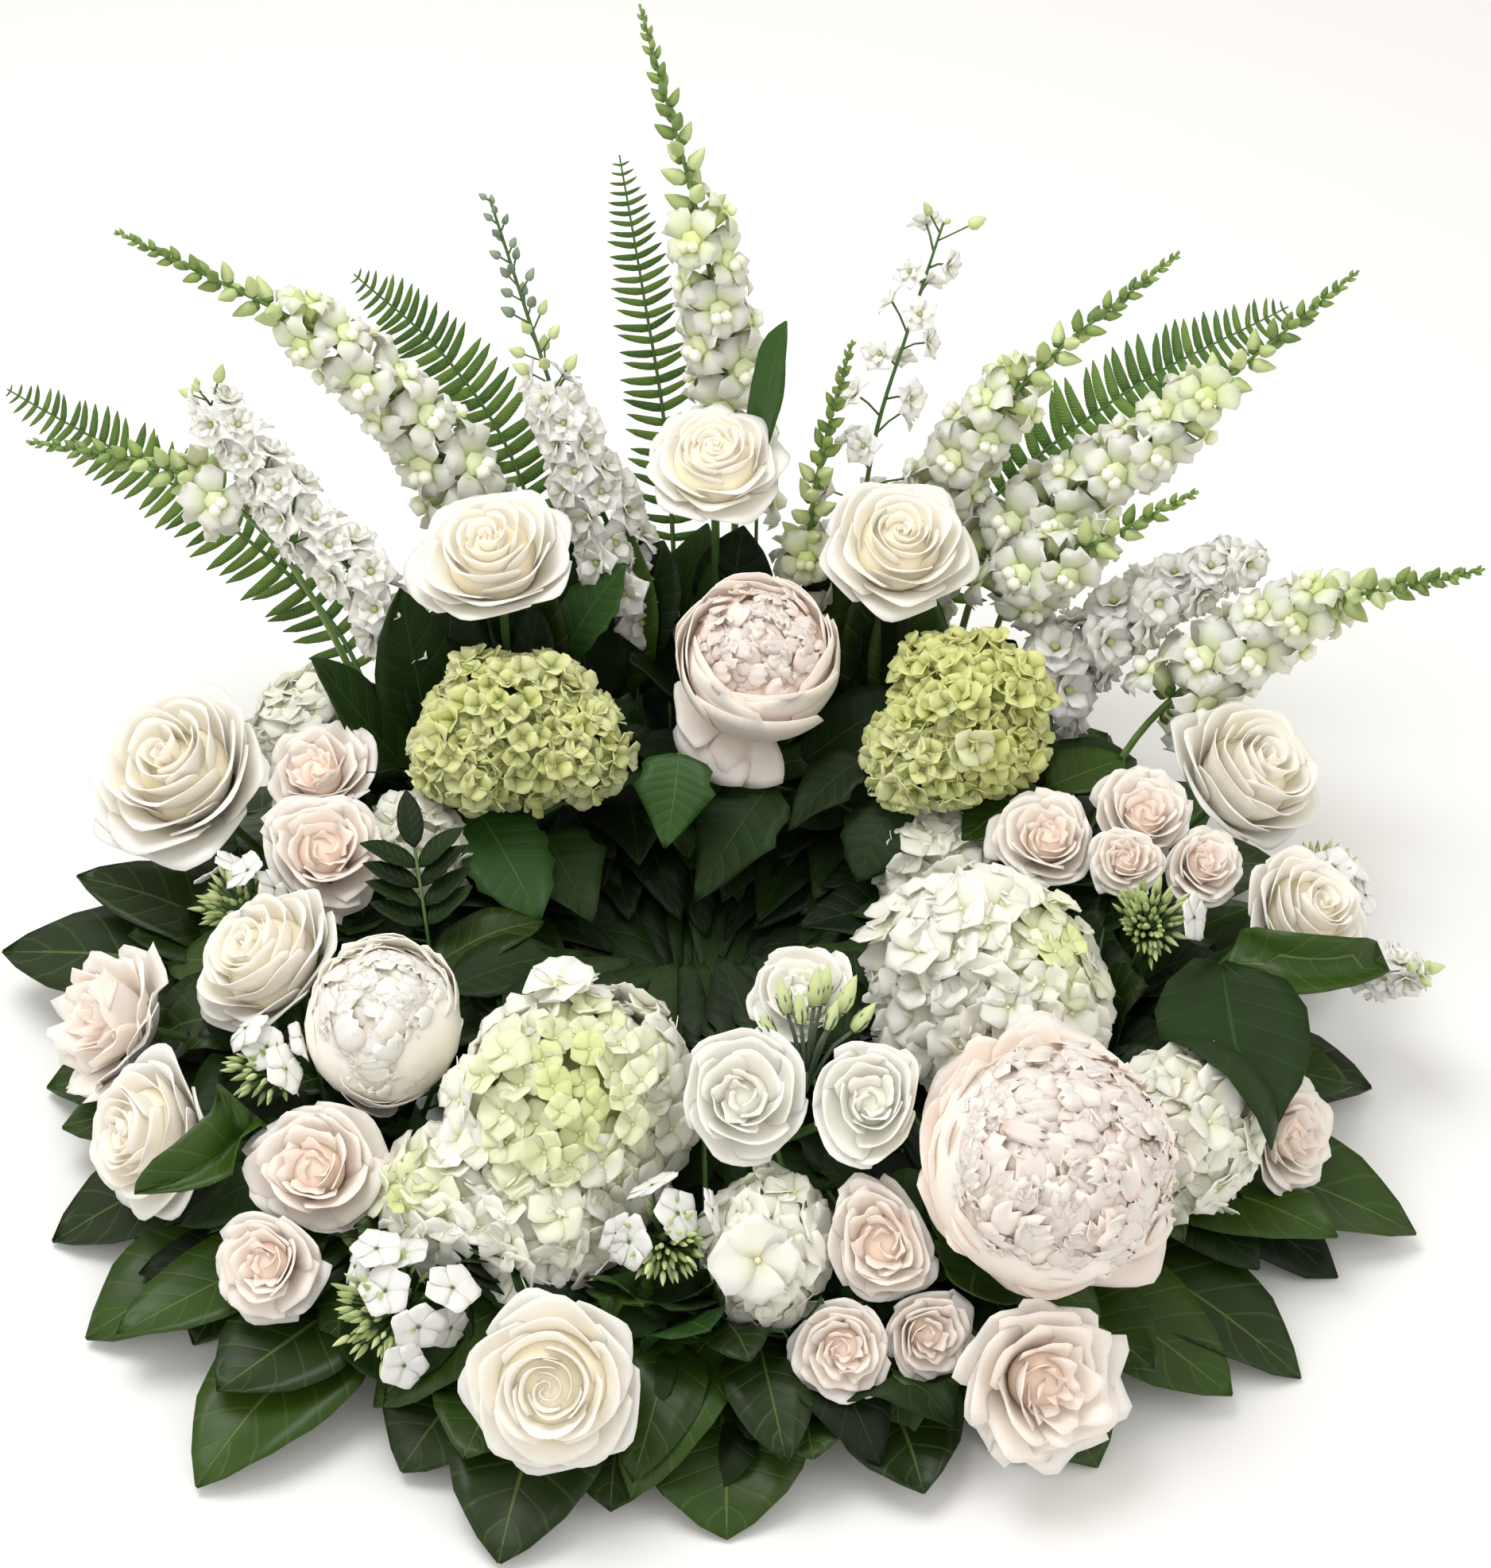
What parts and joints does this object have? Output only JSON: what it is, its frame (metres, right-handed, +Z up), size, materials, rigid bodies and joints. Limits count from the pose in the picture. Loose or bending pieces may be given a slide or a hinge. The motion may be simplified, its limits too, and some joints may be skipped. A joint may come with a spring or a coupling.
{
  "type": "cremation wreath",
  "caption": "Flat ring of white and blush cut flowers in a foam tray, open in the middle for an urn, with a fan of tall spikes and ferns at the back and a collar of dark leaves.",
  "frame": {"origin": "middle of the ring of foam, on the surface that the tray stands on", "axes": "+Z up, front of the wreath towards -Y, left of the picture towards -X"},
  "size_m": [0.84, 0.7079, 0.48],
  "materials": {
    "tray": "moulded dark green plastic",
    "foam": "fine-celled wet flower foam, matt",
    "rose": "ivory-white petals with a soft velvet sheen",
    "spray_rose": "cream-blush petals, soft sheen",
    "peony": "ruffled cream petals with blush outer petals",
    "white_hydrangea": "papery white florets, lime in the middle of a head",
    "lime_hydrangea": "papery lime-green florets",
    "salal_leaf": "thick dark green leaves with a waxy gloss and paler ribs",
    "fern": "thin mid-green leaflets, satin",
    "snapdragon": "white two-lipped flowers, pale green buds",
    "delphinium": "white papery flowers on green stems",
    "phlox": "pure white small flowers and buds on green stems"
  },
  "bodies": {
    "root": {"delphinium_far_right": "delphinium", "delphinium_left": "delphinium", "delphinium_middle_left": "delphinium", "delphinium_middle_right": "delphinium", "fern_far_left": "fern", "fern_left": "fern", "fern_middle": "fern", "fern_right": "fern", "foam_ring": "foam", "hydrangea_front": "white_hydrangea", "hydrangea_left_back": "white_hydrangea", "hydrangea_left_front": "white_hydrangea", "hydrangea_left_inner": "white_hydrangea", "hydrangea_lime_left": "lime_hydrangea", "hydrangea_lime_right": "lime_hydrangea", "hydrangea_right": "white_hydrangea", "hydrangea_right_inner": "white_hydrangea", "hydrangea_right_low": "white_hydrangea", "lisianthus": "phlox", "peony_back": "peony", "peony_front_right": "peony", "peony_left": "peony", "phlox_front": "phlox", "phlox_front_left": "phlox", "phlox_left": "phlox", "phlox_right": "phlox", "phlox_right_edge": "phlox", "ring_tray": "tray", "rose_back_left": "rose", "rose_back_middle": "rose", "rose_back_right": "rose", "rose_front": "rose", "rose_left_high": "rose", "rose_left_low": "rose", "rose_left_middle": "rose", "rose_right": "rose", "rose_right_high": "rose", "salal_collar_1": "salal_leaf", "salal_collar_2": "salal_leaf", "salal_collar_3": "salal_leaf", "salal_collar_4": "salal_leaf", "salal_collar_5": "salal_leaf", "salal_collar_6": "salal_leaf", "salal_inner_left": "salal_leaf", "salal_inner_right": "salal_leaf", "snapdragon_far_left": "snapdragon", "snapdragon_far_right": "snapdragon", "snapdragon_left": "snapdragon", "snapdragon_middle": "snapdragon", "snapdragon_middle_right": "snapdragon", "snapdragon_right": "snapdragon", "snapdragon_right_low": "snapdragon", "snapdragon_right_wide": "snapdragon", "spray_rose_front_right": "spray_rose", "spray_rose_left": "spray_rose", "spray_rose_left_edge": "spray_rose", "spray_rose_left_front": "spray_rose", "spray_rose_low_right": "spray_rose", "spray_rose_right": "spray_rose", "stock": "delphinium"}
  },
  "joints": []
}
